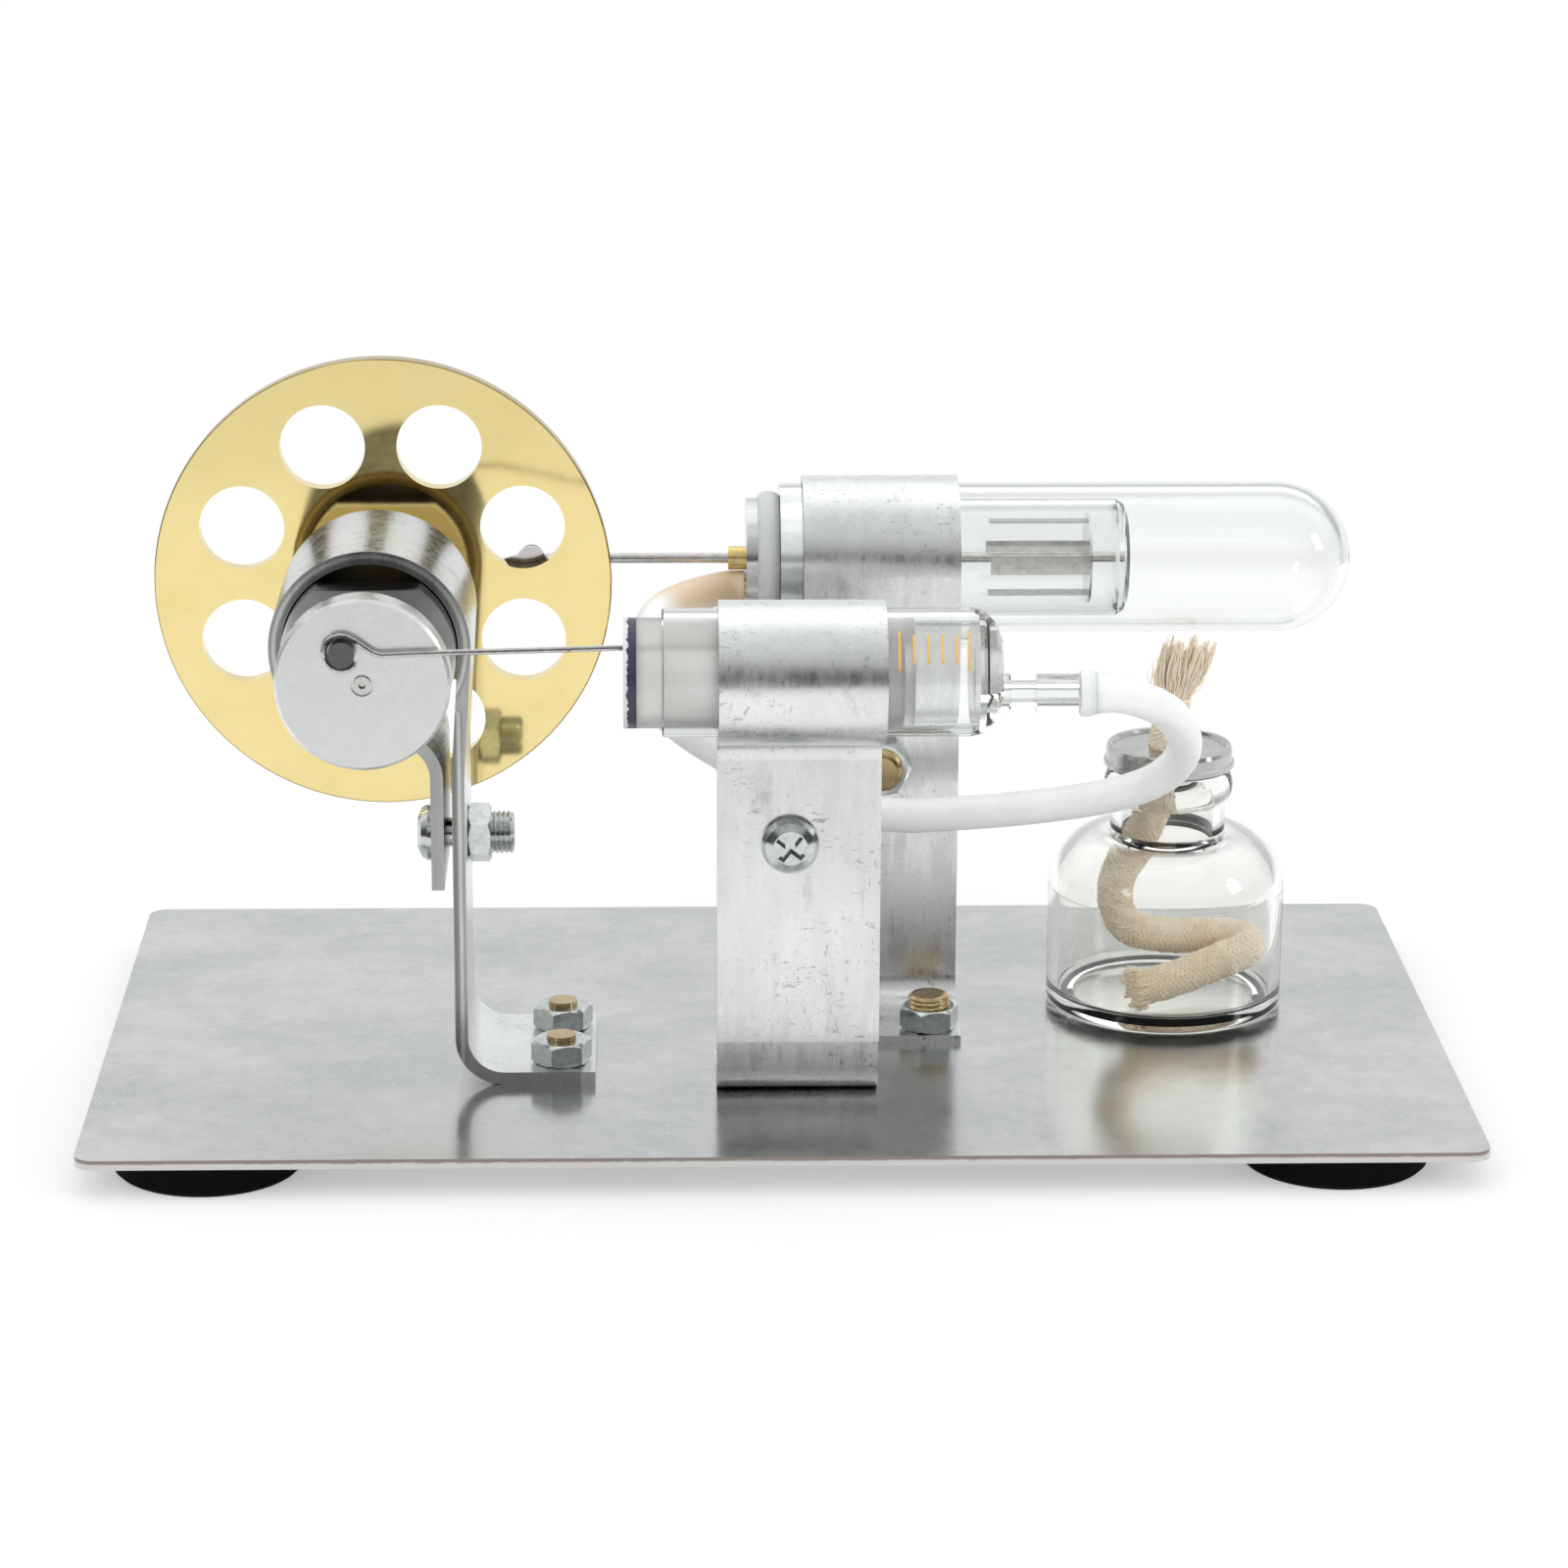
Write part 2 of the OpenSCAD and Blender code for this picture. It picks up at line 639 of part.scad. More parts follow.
module gland_bush() {
    color("goldenrod") at_hot() difference() {
        union() {
            rod_x(2.5, plug_left - 1.85, plug_left);
            rod_x(2, plug_left, plug_right);
        }
        rod_x(rod_d + 2 * running, plug_left - 3, plug_right + 1);
    }
}
module hose_port() {
    color("goldenrod") at_hot() translate([0, 0, -port_drop]) difference() {
        rod_x(2.2, plug_left - 3, plug_right);
        rod_x(1.4, plug_left - 4, plug_right + 1);
    }
}
module displacer_tube() {
    r = displacer_d / 2;
    color("aliceblue") at_hot() difference() {
        translate([displacer_left, 0, 0]) rotate([0, 90, 0]) rotate_extrude() polygon([
            [0, 0], [r, 0], [r, displacer_right - displacer_left - 1.2],
            [r - 0.5, displacer_right - displacer_left - 0.4],
            [r - 1.4, displacer_right - displacer_left], [0, displacer_right - displacer_left],
        ]);
        rod_x(displacer_d - 2 * displacer_wall, displacer_left - 1,
            displacer_right - displacer_wall - 0.2);
    }
}
module displacer_stopper() {
    color("tan") at_hot() difference() {
        rod_x(displacer_d - 2 * displacer_wall - 0.04, displacer_left, displacer_left + 3);
        rod_x(rod_d, displacer_left - 1, displacer_left + 4);
    }
}
module displacer_rod() { color("silver") at_hot() rod_x(rod_d, rod_left, rod_right); }
// Small boss at the rod's end, beside the link's eye
module rod_knuckle() {
    color("dimgray") at_hot() translate([knuckle_x, 0, 0]) difference() {
        rod_y(2.7, -0.75, 0.75);
        rod_x(rod_d, -3, 3);
    }
}
// Four-fingered spring clip that centres the rod in the displacer tube
module spring_clip() {
    hub_x = 33.2;
    reach = 10.4;
    ring = 3.8;
    color("dimgray") at_hot() difference() {
        union() {
            rod_x(9.6, hub_x, hub_x + 0.25);
            for (a = [0:90:270])
                rotate([a, 0, 0]) translate([hub_x - reach, -0.9, ring]) cube([reach, 1.8, 0.22]);
        }
        rod_x(rod_d, 0, 40);
    }
}

module hose() {
    color("ivory") swept(hose_route, hose_d, hose_sides, hose_steps, [0, 0, 1]);
}

module at_burner() { translate([burner_x, burner_y, deck]) children(); }
lid_bottom = 26.4;
lid_h = 28.8;

// Squat glass bottle with a round shoulder, a beaded neck and a hollow under its floor
module burner_bottle() {
    r = bottle_d / 2;
    wall = 1.2;
    neck = 6.1;
    shoulder = 6.4;
    color("aliceblue") at_burner() difference() {
        union() {
            bottle_form(r, 1, 13.2, shoulder, neck, lid_h - 1);
            rotate_extrude() translate([neck - 0.45, lid_bottom - 2]) scale([1, 1.55]) circle(1.2);
        }
        translate([0, 0, 1.6])
            bottle_form(r - wall, 0.8, 11.4, shoulder - wall, neck - wall, 30);
        rotate_extrude() polygon([[0, -1], [10.3, -1], [10.3, 0.2], [9.7, 0.5], [0, 0.8]]);
    }
}
module bottle_form(r, base_r, straight, shoulder, neck, top) {
    rotate_extrude() {
        square([r - base_r, 2 * base_r]);
        translate([r - base_r, base_r]) circle(base_r, $fn = 32);
        translate([0, base_r]) square([r, straight - base_r]);
        translate([r - shoulder, straight]) intersection() {
            circle(shoulder);
            square(shoulder);
        }
        translate([0, straight]) square([r - shoulder, shoulder]);
        square([neck, top]);
    }
}
module burner_lid() {
    r = lid_d / 2;
    color("silver") at_burner() difference() {
        translate([0, 0, lid_bottom]) rotate_extrude() polygon([
            [0, 0], [r - 0.1, 0], [r + 0.15, 0.2], [r + 0.15, 0.6], [r - 0.1, 0.8],
            [r - 0.1, 1.9], [r - 0.25, 2.3], [r - 0.5, 2.4], [r - 0.8, 2.3],
            [r - 1, 2], [0, 2],
        ]);
        cylinder(r = 6.15, h = lid_h - 0.97);
        cylinder(r = wick_d / 2 + 0.35, h = 40);
    }
}
module wick() {
    color("tan") swept(wick_route, wick_d, wick_sides, wick_steps, [0, 1, 0]);
}

base_plate();
foot_front_left();
foot_front_right();
foot_back_left();
foot_back_right();
flywheel_bracket();
flywheel_clamp_screw();
flywheel_clamp_nut();
flywheel_foot_screws();
flywheel_foot_nuts();
bearing_can();
bearing_cap();
front_bush();
rear_bush();
crank_shaft();
crank_collar();
crank_disc();
crank_pin();
flywheel();
flywheel_hub();
hub_grub_screw();
displacer_crank_pin();
power_con_rod();
displacer_con_rod();
power_bracket();
power_clamp_screw();
power_clamp_nut();
power_foot_screws();
power_foot_nuts();
syringe_barrel();
plunger();
plunger_band();
hot_bracket();
hot_clamp_screw();
hot_clamp_nut();
hot_foot_screws();
hot_foot_nuts();
hot_tube();
cold_plug();
plug_seal();
gland_bush();
hose_port();
displacer_tube();
displacer_stopper();
displacer_rod();
rod_knuckle();
spring_clip();
hose();
burner_bottle();
burner_lid();
wick();
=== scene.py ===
import json
import math
import random

import bmesh
import bpy
from mathutils import Matrix, Vector


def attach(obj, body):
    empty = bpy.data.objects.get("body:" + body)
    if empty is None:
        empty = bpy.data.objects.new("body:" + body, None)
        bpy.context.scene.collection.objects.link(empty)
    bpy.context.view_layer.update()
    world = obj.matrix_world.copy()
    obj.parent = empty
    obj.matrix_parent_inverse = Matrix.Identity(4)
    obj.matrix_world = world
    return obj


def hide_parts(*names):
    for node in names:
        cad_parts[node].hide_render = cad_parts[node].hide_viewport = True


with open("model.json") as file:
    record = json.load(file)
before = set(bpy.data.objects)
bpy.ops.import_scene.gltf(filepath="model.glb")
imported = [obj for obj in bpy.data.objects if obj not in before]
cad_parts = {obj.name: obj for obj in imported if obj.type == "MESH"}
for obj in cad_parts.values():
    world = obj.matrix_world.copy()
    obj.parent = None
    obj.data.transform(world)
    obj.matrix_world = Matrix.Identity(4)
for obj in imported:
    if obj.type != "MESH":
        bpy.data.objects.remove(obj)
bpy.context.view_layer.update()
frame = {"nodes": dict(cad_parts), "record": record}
scene = bpy.context.scene
nodes = frame["nodes"]
MM = 0.001

# Dimensions shared with the CAD model, in millimetres
DECK = 4.0                          # top of the plate
SHAFT = Vector((-41.1, 0, 50.1))    # a point on the crank's axis, which runs along Y
POWER = Vector((0, -27.9, 50.1))    # a point on the syringe's axis, along X
HOT = Vector((0, 12, 51.9))         # a point on the hot tube's axis, along X
TUBE_R_SQUARED = 63.2               # the hot tube's outer radius is 7.95
WHEEL_R = 24.0
MOUTH_X = -15.8                     # open end of the plunger
HOSE_D = 3.6
WICK_D = 3.8
# Flywheel bracket: its loop's inner radius, its sheet's thickness, how far right of the
# shaft its long leg stands, and the height where the leg runs into the loop
STRIP_R, STRIP_T, STRIP_LEG, STRIP_BEND_Z = 8.8, 1.3, 7.95, 44.0
FLYWHEEL_SIDE_X = -20.0             # of the three brackets, only the flywheel's lies left of this
HOSE_ROUTE = [
    (30, -27.9, 47.9), (32.5, -27.9, 47.85), (35.3, -26.8, 46.9), (38, -24, 45),
    (40, -20.2, 42.2), (41, -16, 39), (40.6, -12.2, 35.9), (38.4, -9.4, 33.2),
    (34, -7.8, 31.3), (27, -7, 30), (19, -6.6, 29.2), (11, -6.5, 29.1),
    (2.2, -6.9, 31.8), (-5.2, -7.8, 35.8), (-10.4, -8.4, 39.6), (-13, -8.2, 43.4),
    (-13.5, -6, 46.9), (-12.6, -2.2, 48.9), (-10.8, 3.2, 49.1), (-8.4, 8.2, 48.8),
    (-5.6, 11.4, 48.7), (-4.4, 12, 48.7), (-3.05, 12, 48.7),
]
WICK_ROUTE = [
    (43.6, 7, 44.2), (43.2, 7, 41), (42.2, 7, 36.5), (41.8, 7, 32), (41.2, 6.9, 27.6),
    (39.4, 6.6, 23), (37, 6.1, 18.6), (36.8, 5.9, 15), (38.4, 6, 12.6), (41.6, 6.6, 11.6),
    (45.4, 7.6, 11.1), (49, 8.1, 10.9), (51, 7, 10.8), (50.6, 4.6, 10.5),
    (47.4, 3, 9.7), (42.8, 0.8, 8.6), (38.2, -0.8, 7.8),
]

# Camera: place in millimetres, angles in degrees, lens and sensor in millimetres
CAMERA_AT = Vector((-13.8, -479.74, 172.43))
CAMERA_YAW, CAMERA_PITCH, CAMERA_ROLL = 1.753, 16.48, 0.268
CAMERA_LENS, CAMERA_SENSOR = 109.57, 36

# Wick: heights, widths and lengths in millimetres, and counts
CORD_TOP_Z = 33                     # the free cord starts here, just above the lid
FRAY_Z = 38.2                       # the braid ends here and the fray begins
YARNS, YARN_D, BRAID_PITCH = 12, 0.36, 6.5
LOCKS, FRAY_FIBRES, CUT_FIBRES = 15, 620, 150
FRAY_RISE, FRAY_LEAN, FRAY_FLARE = 6.4, 1.4, 0.75
CUT_FIBRE_Z = DECK + 1.75           # the cut end's fibres stay above the bottle's floor

# Printed marks, in millimetres: x, and the lowest and highest angle round the barrel, in degrees
MARK_R, MARK_HALF, MARK_STEPS = 6.38, 0.13, 8
MARKS = (
    (11.0, 16, 54), (12.45, 22, 50), (13.85, 22, 50),
    (15.2, 22, 50), (16.55, 22, 50), (17.8, 16, 54),
)

# Screw thread at the visible screw ends, in millimetres, and its divisions
THREAD_CREST, THREAD_ROOT, THREAD_PITCH = 1.58, 1.4, 0.5
THREAD_SIDES, ROWS_PER_TURN, THREAD_TAPER = 28, 8, 0.35


# ---------------------------------------------------------------- camera
def place_camera():
    yaw, pitch, roll = (math.radians(v) for v in (CAMERA_YAW, CAMERA_PITCH, CAMERA_ROLL))
    up = Vector((0, 0, 1))
    ahead = Vector((math.sin(yaw), math.cos(yaw), 0))
    right = Vector((math.cos(yaw), -math.sin(yaw), 0))
    look = ahead * math.cos(pitch) - up * math.sin(pitch)
    top = up * math.cos(pitch) + ahead * math.sin(pitch)
    x = right * math.cos(roll) + top * math.sin(roll)
    y = top * math.cos(roll) - right * math.sin(roll)
    data = bpy.data.cameras.new("camera")
    data.sensor_width = CAMERA_SENSOR
    data.lens = CAMERA_LENS
    data.clip_start = 0.01
    data.clip_end = 20
    cam = bpy.data.objects.new("camera", data)
    m = Matrix((x, y, -look)).transposed().to_4x4()
    m.translation = CAMERA_AT * MM
    cam.matrix_world = m
    scene.collection.objects.link(cam)
    scene.camera = cam


place_camera()


# ---------------------------------------------------------------- node helpers
def feed(links, socket, value):
    """Link value to socket if it is a node's output, or set it if it is a number or colour."""
    if hasattr(value, "is_output"):
        links.new(value, socket)
    else:
        socket.default_value = value


class Paint:
    """A Principled material with a few short ways to add procedural detail.

    Noise scales are in cells per metre and bump distances in metres.
    """

    def __init__(self, name, color, rough=0.4, metal=0.0, **inputs):
        self.mat = bpy.data.materials.new(name)
        self.mat.use_nodes = True
        self.nt = self.mat.node_tree
        self.bsdf = self.nt.nodes["Principled BSDF"]
        self.out = self.nt.nodes["Material Output"]
        self.set("Base Color", (*color, 1))
        self.set("Roughness", rough)
        self.set("Metallic", metal)
        for key, value in inputs.items():
            self.set(key.replace("_", " "), value)
        self.coord = self.nt.nodes.new("ShaderNodeTexCoord").outputs["Object"]
        self.last_bump = None

    def set(self, key, value):
        self.bsdf.inputs[key].default_value = value

    def link(self, a, b):
        self.nt.links.new(a, b)

    def node(self, kind, **props):
        n = self.nt.nodes.new(kind)
        for k, v in props.items():
            setattr(n, k, v)
        return n

    def mapped(self, stretch):
        m = self.node("ShaderNodeMapping")
        self.link(self.coord, m.inputs["Vector"])
        m.inputs["Scale"].default_value = stretch
        return m.outputs["Vector"]

    def noise(self, scale, detail=4, rough=0.55, stretch=(1, 1, 1), distortion=0.0):
        n = self.node("ShaderNodeTexNoise")
        self.link(self.mapped(stretch), n.inputs["Vector"])
        n.inputs["Scale"].default_value = scale
        n.inputs["Detail"].default_value = detail
        n.inputs["Roughness"].default_value = rough
        n.inputs["Distortion"].default_value = distortion
        return n.outputs["Fac"]

    def cells(self, scale):
        n = self.node("ShaderNodeTexVoronoi")
        self.link(self.mapped((1, 1, 1)), n.inputs["Vector"])
        n.inputs["Scale"].default_value = scale
        return n.outputs["Color"]

    def ramp(self, fac, *stops):
        """A grey ramp through (place, value) stops."""
        n = self.node("ShaderNodeValToRGB")
        e = n.color_ramp.elements
        while len(e) < len(stops):
            e.new(0.5)
        for item, (at, value) in zip(e, stops):
            item.position = at
            item.color = (value, value, value, 1)
        self.link(fac, n.inputs["Fac"])
        return n.outputs["Color"]

    def fit(self, fac, a, b, lo, hi):
        """lo where fac is a and hi where it is b; a may be the greater."""
        n = self.node("ShaderNodeMapRange")
        for k, v in (("From Min", a), ("From Max", b), ("To Min", lo), ("To Max", hi)):
            n.inputs[k].default_value = v
        self.link(fac, n.inputs["Value"])
        return n.outputs["Result"]

    def past(self, place, a, b, most=1.0):
        """A soft edge: 0 where place is a and most where it is b, both in millimetres."""
        return self.fit(place, a * MM, b * MM, 0.0, most)

    def blend(self, a, b, fac):
        n = self.node("ShaderNodeMix", data_type="RGBA")
        for socket, value in ((n.inputs[6], a), (n.inputs[7], b), (n.inputs[0], fac)):
            feed(self.nt.links, socket, (*value, 1) if isinstance(value, tuple) else value)
        return n.outputs[2]

    def math(self, op, a, b=0.0):
        n = self.node("ShaderNodeMath", operation=op)
        for socket, value in zip(n.inputs, (a, b)):
            feed(self.nt.links, socket, value)
        return n.outputs[0]

    def parts(self, socket=None):
        """X, Y and Z of a point, in metres, or of another vector."""
        n = self.node("ShaderNodeSeparateXYZ")
        self.link(socket or self.coord, n.inputs[0])
        return n.outputs

    def facing(self):
        """X, Y and Z of the direction that the surface faces."""
        return self.parts(self.node("ShaderNodeTexCoord").outputs["Normal"])

    def from_axis(self, axis):
        """Distance from a line along Y through a point given in millimetres."""
        x, _, z = self.parts()
        dx = self.math("SUBTRACT", x, axis.x * MM)
        dz = self.math("SUBTRACT", z, axis.z * MM)
        square = self.math("ADD", self.math("MULTIPLY", dx, dx), self.math("MULTIPLY", dz, dz))
        return self.math("SQRT", square)

    def ragged(self, place, grit, width):
        """place moved to and fro by the noise grit, over width millimetres."""
        shift = self.math("MULTIPLY", self.math("SUBTRACT", grit, 0.5), width * MM)
        return self.math("ADD", place, shift)

    def color(self, socket):
        self.link(socket, self.bsdf.inputs["Base Color"])

    def rough(self, socket):
        self.link(socket, self.bsdf.inputs["Roughness"])

    def bump(self, socket, strength, distance):
        """Add a bump on top of those already there."""
        n = self.node("ShaderNodeBump")
        n.inputs["Strength"].default_value = strength
        n.inputs["Distance"].default_value = distance
        self.link(socket, n.inputs["Height"])
        if self.last_bump:
            self.link(self.last_bump, n.inputs["Normal"])
        self.last_bump = n.outputs["Normal"]
        self.link(self.last_bump, self.bsdf.inputs["Normal"])

    def let_light_through(self, tint):
        """Lamps shine through the glass in place of caustics."""
        path = self.node("ShaderNodeLightPath")
        clear = self.node("ShaderNodeBsdfTransparent")
        clear.inputs["Color"].default_value = (*tint, 1)
        mix = self.node("ShaderNodeMixShader")
        self.link(path.outputs["Is Shadow Ray"], mix.inputs[0])
        self.link(self.bsdf.outputs[0], mix.inputs[1])
        self.link(clear.outputs[0], mix.inputs[2])
        self.link(mix.outputs[0], self.out.inputs["Surface"])


def dimmed(color, by):
    return tuple(c * by for c in color)


# ---------------------------------------------------------------- materials
def painted_edge_shade(p, x):
    """Painted shade lines across the flywheel bracket's cut edge, with lighter bands between them
    as a painted highlight, like a rounded edge's shading.
    """
    loop = p.math("SUBTRACT", p.from_axis(SHAFT), STRIP_R * MM)
    leg = p.math("SUBTRACT", x, (SHAFT.x + STRIP_LEG) * MM)
    bend = p.past(p.parts()[2], STRIP_BEND_Z - 0.5, STRIP_BEND_Z + 0.5)
    across = p.blend(leg, loop, bend)
    return p.ramp(
        p.math("MULTIPLY", across, 1 / (STRIP_T * MM)),
        (0.0, 0.4), (0.14, 0.8), (0.4, 0.6), (0.52, 0.0), (0.68, 0.0), (0.82, 0.55), (1.0, 0.3),
    )


def bracket_steel():
    """Bent strip: brushed along the legs and duller on its cut edges; painted shade marks the
    flywheel bracket's cut edge and darkens the clamp's bore.
    """
    p = Paint("bracket_steel", (0.8, 0.8, 0.8), 0.3, 1.0)
    clouds = p.noise(70, 5, 0.6)
    streaks = p.noise(900, 5, 0.7, (1, 1, 0.12))
    mixed = p.ramp(p.blend(clouds, streaks, 0.35), (0.36, 0.0), (0.62, 1.0))
    base = p.blend((0.7, 0.705, 0.7), (0.86, 0.865, 0.86), mixed)
    # Dark scratches along X, along Z and as specks, in patches
    patchy = p.ramp(p.noise(95, 3, 0.6), (0.44, 0.15), (0.6, 1.0))
    for scale, stretch, at in (
        (2300, (0.3, 1, 1), 0.62), (1900, (1, 1, 0.3), 0.62), (3400, (1, 1, 1), 0.64),
    ):
        marks = p.ramp(p.noise(scale, 3, 0.6, stretch), (at, 0.0), (at + 0.07, 0.6))
        base = p.blend(base, (0.22, 0.22, 0.22), p.math("MULTIPLY", marks, patchy))
    smudge = p.noise(330, 6, 0.7, (1, 1, 0.5))
    base = p.blend(base, (0.36, 0.36, 0.35), p.ramp(smudge, (0.58, 0.0), (0.74, 0.5)))
    flecks = p.noise(1700, 3, 0.6)
    base = p.blend(base, (0.95, 0.95, 0.94), p.ramp(flecks, (0.66, 0.0), (0.72, 0.5)))
    # The flywheel bracket's cut edges face along Y, and the other two brackets' along X
    nx, ny, _ = p.facing()
    x = p.parts()[0]
    left = p.past(x, FLYWHEEL_SIDE_X + 0.5, FLYWHEEL_SIDE_X - 0.5)
    edge = p.blend(p.math("ABSOLUTE", nx), p.math("ABSOLUTE", ny), left)
    base = p.blend(base, (0.56, 0.555, 0.54), p.fit(edge, 0.86, 0.97, 0.0, 0.8))
    # Painted shade: dark lines across the flywheel bracket's cut edge, with lighter painted
    # highlight bands left between them
    cut = p.math("MULTIPLY", p.fit(edge, 0.8, 0.95, 0.0, 1.0), left)
    shade = p.math("MULTIPLY", cut, painted_edge_shade(p, x))
    base = p.blend(base, (0.1, 0.1, 0.095), shade)
    # Painted shade: the bore of the flywheel clamp's loop is painted near black, and made matte
    painted_clamp_shade = p.past(p.from_axis(SHAFT), STRIP_R + 0.06, STRIP_R + 0.01, 0.93)
    p.color(p.blend(base, (0.015, 0.014, 0.013), painted_clamp_shade))
    p.rough(p.blend(p.fit(streaks, 0.3, 0.7, 0.2, 0.38), (0.7, 0.7, 0.7), painted_clamp_shade))
    p.bump(streaks, 0.2, 0.00002)
    p.bump(p.noise(120, 2, 0.5), 0.2, 0.0001)
    return p.mat


def crank_face():
    """Turned face, with fine rings round the shaft."""
    p = Paint("aluminium", (0.76, 0.76, 0.755), 0.3, 1.0)
    rings = p.node("ShaderNodeTexNoise", noise_dimensions="1D")
    p.link(p.math("MULTIPLY", p.from_axis(SHAFT), 5200.0), rings.inputs["W"])
    rings.inputs["Detail"].default_value = 2
    cloud = p.noise(420, 6, 0.7)
    mixed = p.blend(rings.outputs["Fac"], cloud, 0.6)
    shine = p.ramp(mixed, (0.36, 0.0), (0.62, 1.0))
    p.color(p.blend((0.66, 0.66, 0.655), (0.93, 0.93, 0.925), shine))
    p.rough(p.fit(cloud, 0.3, 0.7, 0.22, 0.42))
    p.bump(mixed, 0.12, 0.00002)
    return p.mat


def band_ink():
    """Dark band worn off along the plunger's very end."""
    p = Paint("dark_enamel", (0.03, 0.022, 0.05), 0.35)
    grit = p.noise(1100, 5, 0.7)
    ink = p.blend((0.025, 0.018, 0.045), (0.05, 0.04, 0.075), grit)
    worn = p.past(p.ragged(p.parts()[0], grit, 1.1), MOUTH_X + 0.48, MOUTH_X + 0.38, 0.9)
    p.color(p.blend(ink, (0.72, 0.71, 0.74), worn))
    p.rough(p.fit(grit, 0.3, 0.7, 0.28, 0.45))
    p.bump(grit, 0.2, 0.00003)
    return p.mat


def turned_metal(name, color, rough, spread=0.08, grain=1500, stretch=(1, 1, 1)):
    p = Paint(name, color, rough, 1.0)
    grains = p.noise(grain, 4, 0.6, stretch)
    p.color(p.blend(dimmed(color, 0.8), color, p.ramp(grains, (0.35, 0.0), (0.6, 1.0))))
    p.rough(p.fit(grains, 0.3, 0.7, max(rough - spread, 0.03), rough + spread))
    p.bump(grains, 0.12, 0.00002)
    return p.mat


def glass(name, tint, rough=0.0, ior=1.47):
    p = Paint(name, tint, rough, 0.0, Transmission_Weight=1.0, IOR=ior)
    p.bump(p.noise(160, 2, 0.5), 0.12, 0.00003)
    p.let_light_through(tint)
    return p.mat


def galvanised():
    """Clouded zinc, with rusty brown along the top of the plate's cut edge."""
    p = Paint("galvanised", (0.62, 0.64, 0.65), 0.2, 1.0)
    clouds = p.noise(38, 6, 0.62, (1, 1.6, 1), 0.4)
    fine = p.noise(420, 5, 0.7)
    mixed = p.blend(clouds, fine, 0.35)
    shine = p.ramp(mixed, (0.38, 0.0), (0.62, 1.0))
    base = p.blend((0.53, 0.54, 0.53), (0.67, 0.675, 0.66), shine)
    spots = p.noise(1500, 2, 0.5)
    base = p.blend(base, (0.75, 0.77, 0.78), p.ramp(spots, (0.66, 0.0), (0.71, 0.7)))
    burr = p.past(p.ragged(p.parts()[2], fine, 0.4), DECK - 0.48, DECK - 0.3)
    cut = p.blend((0.6, 0.59, 0.575), (0.22, 0.175, 0.16), burr)
    up = p.math("ABSOLUTE", p.facing()[2])
    p.color(p.blend(base, cut, p.fit(up, 0.7, 0.35, 0.0, 0.9)))
    p.rough(p.fit(mixed, 0.35, 0.65, 0.13, 0.24))
    p.bump(p.noise(60, 3, 0.5), 0.2, 0.00012)
    p.bump(fine, 0.08, 0.00002)
    return p.mat


def gold():
    """Polished face with a dark turned rim."""
    p = Paint("gold_brass", (0.86, 0.71, 0.33), 0.07, 1.0)
    haze = p.noise(120, 5, 0.6)
    shine = p.ramp(haze, (0.35, 0.0), (0.65, 1.0))
    face = p.blend((0.82, 0.66, 0.29), (0.87, 0.715, 0.34), shine)
    rim = p.past(p.from_axis(SHAFT), WHEEL_R - 0.17, WHEEL_R - 0.1, 0.85)
    p.color(p.blend(face, (0.34, 0.24, 0.09), rim))
    p.rough(p.fit(haze, 0.3, 0.7, 0.05, 0.11))
    p.bump(p.noise(90, 2, 0.5), 0.12, 0.00006)
    p.bump(p.noise(1500, 4, 0.6), 0.05, 0.00001)
    return p.mat


def rubber():
    p = Paint("rubber", (0.006, 0.006, 0.007), 0.75)
    p.set("Specular IOR Level", 0.08)
    grit = p.noise(2200, 5, 0.7)
    p.color(p.blend((0.0006, 0.0006, 0.0006), (0.004, 0.004, 0.0045), grit))
    p.rough(p.fit(grit, 0.3, 0.7, 0.65, 0.9))
    p.bump(grit, 0.6, 0.00008)
    return p.mat


def silicone(name, color, through, stain=None):
    """Soft milky rubber; a stain colours it towards the hot side."""
    p = Paint(name, color, 0.32, 0.0, Transmission_Weight=through, IOR=1.41)
    p.set("Subsurface Weight", 0.6)
    p.set("Subsurface Radius", (1.0, 0.97, 0.93))
    p.set("Subsurface Scale", 0.0015)
    haze = p.noise(240, 4, 0.6)
    base = p.blend(dimmed(color, 0.95), color, p.ramp(haze, (0.35, 0.0), (0.65, 1.0)))
    if stain:
        base = p.blend(base, stain, p.past(p.parts()[1], -3.0, 2.0, 0.9))
    p.color(base)
    p.rough(p.fit(haze, 0.3, 0.7, 0.24, 0.42))
    p.bump(p.noise(900, 3, 0.6), 0.08, 0.00003)
    return p.mat


def cotton(name, light, dark):
    p = Paint(name, light, 0.95, 0.0)
    p.set("Sheen Weight", 0.4)
    p.set("Sheen Roughness", 0.5)
    p.set("Subsurface Weight", 0.3)
    p.set("Subsurface Radius", (1.0, 0.8, 0.6))
    p.set("Subsurface Scale", 0.0008)
    fibre = p.noise(3200, 6, 0.8, (1, 1, 0.5))
    patch = p.noise(260, 4, 0.6)
    p.color(p.blend(dark, light, p.ramp(p.blend(fibre, patch, 0.4), (0.35, 0.0), (0.58, 1.0))))
    p.bump(p.noise(750, 4, 0.65), 0.8, 0.00022)
    p.bump(fibre, 0.7, 0.00008)
    return p.mat


def cork():
    p = Paint("cork", (0.6, 0.47, 0.31), 0.85)
    grain = p.ramp(p.cells(1300), (0.1, 0.0), (0.7, 1.0))
    p.color(p.blend((0.42, 0.3, 0.17), (0.68, 0.54, 0.36), grain))
    p.bump(p.noise(1100, 5, 0.7), 0.6, 0.0001)
    return p.mat


def plastic(name, color, rough):
    p = Paint(name, color, rough)
    grit = p.noise(1400, 4, 0.6)
    p.color(p.blend(dimmed(color, 0.85), color, grit))
    p.rough(p.fit(grit, 0.3, 0.7, rough - 0.08, rough + 0.08))
    p.bump(grit, 0.15, 0.00003)
    return p.mat


